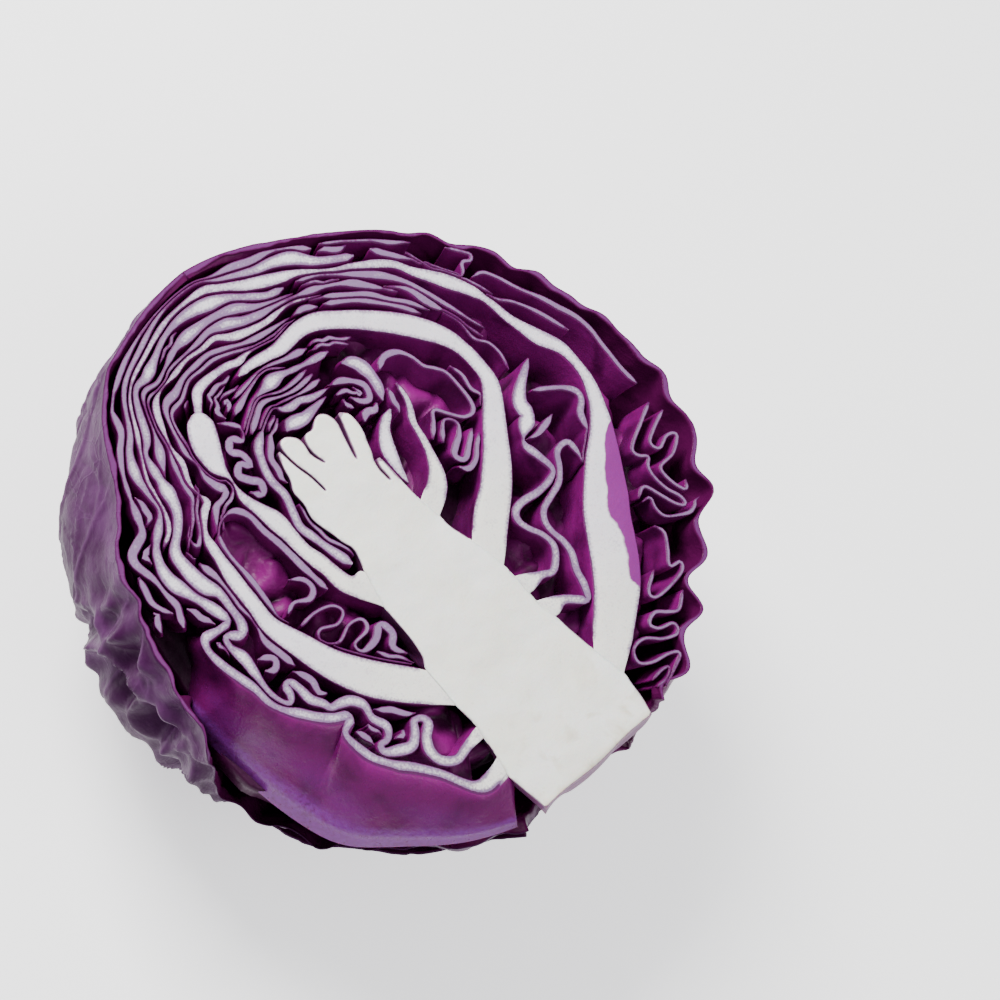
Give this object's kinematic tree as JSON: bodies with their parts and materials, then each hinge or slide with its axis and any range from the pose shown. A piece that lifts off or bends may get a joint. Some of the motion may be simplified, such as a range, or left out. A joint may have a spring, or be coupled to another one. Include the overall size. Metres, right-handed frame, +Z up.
{
  "type": "red cabbage half",
  "caption": "Half of a red cabbage cut lengthways through its core, with folded leaves showing on the level cut face and rounded leaves wrapped round its back.",
  "frame": {"origin": "centre of the small flat spot on the rounded back that the half rests on", "axes": "+Z up, out of the level cut face; +Y along the core from the cut stem towards the top of the head; +X to the right when the stem end is nearest"},
  "size_m": [0.172, 0.1727, 0.077],
  "materials": {
    "core_flesh": "moist creamy white stem flesh, stands in for vegetable tissue",
    "leaf_flesh": "white leaf flesh with a thin dark purple skin, stands in for vegetable tissue",
    "outer_leaf": "waxy grey-violet bloom over purple skin, with pale veins"
  },
  "bodies": {
    "root": {"core": "core_flesh", "leaf_left_main_rib": "leaf_flesh", "leaf_left_second_rib": "leaf_flesh", "leaf_left_third_rib": "leaf_flesh", "leaf_left_outer_fold": "leaf_flesh", "leaf_left_inner_fold": "leaf_flesh", "leaf_left_loose": "leaf_flesh", "leaf_left_pocket": "leaf_flesh", "leaf_left_tangle": "leaf_flesh", "leaf_right_inner_rib": "leaf_flesh", "leaf_right_outer_rib": "leaf_flesh", "leaf_right_finger": "leaf_flesh", "leaf_right_lens": "leaf_flesh", "leaf_right_inner_fold": "leaf_flesh", "leaf_right_outer_fold": "leaf_flesh", "leaf_right_crumple": "leaf_flesh", "leaf_right_hook": "leaf_flesh", "leaf_right_shoulder_1": "leaf_flesh", "leaf_right_shoulder_2": "leaf_flesh", "leaf_right_shoulder_3": "leaf_flesh", "leaf_right_frill_1": "leaf_flesh", "leaf_right_frill_2": "leaf_flesh", "leaf_right_frill_3": "leaf_flesh", "leaf_right_frill_4": "leaf_flesh", "leaf_arch_1": "leaf_flesh", "leaf_arch_2": "leaf_flesh", "leaf_arch_3": "leaf_flesh", "leaf_arch_4": "leaf_flesh", "leaf_wrapper_left": "outer_leaf", "leaf_wrapper_right": "outer_leaf", "leaf_wrapper_back": "outer_leaf"}
  },
  "joints": []
}
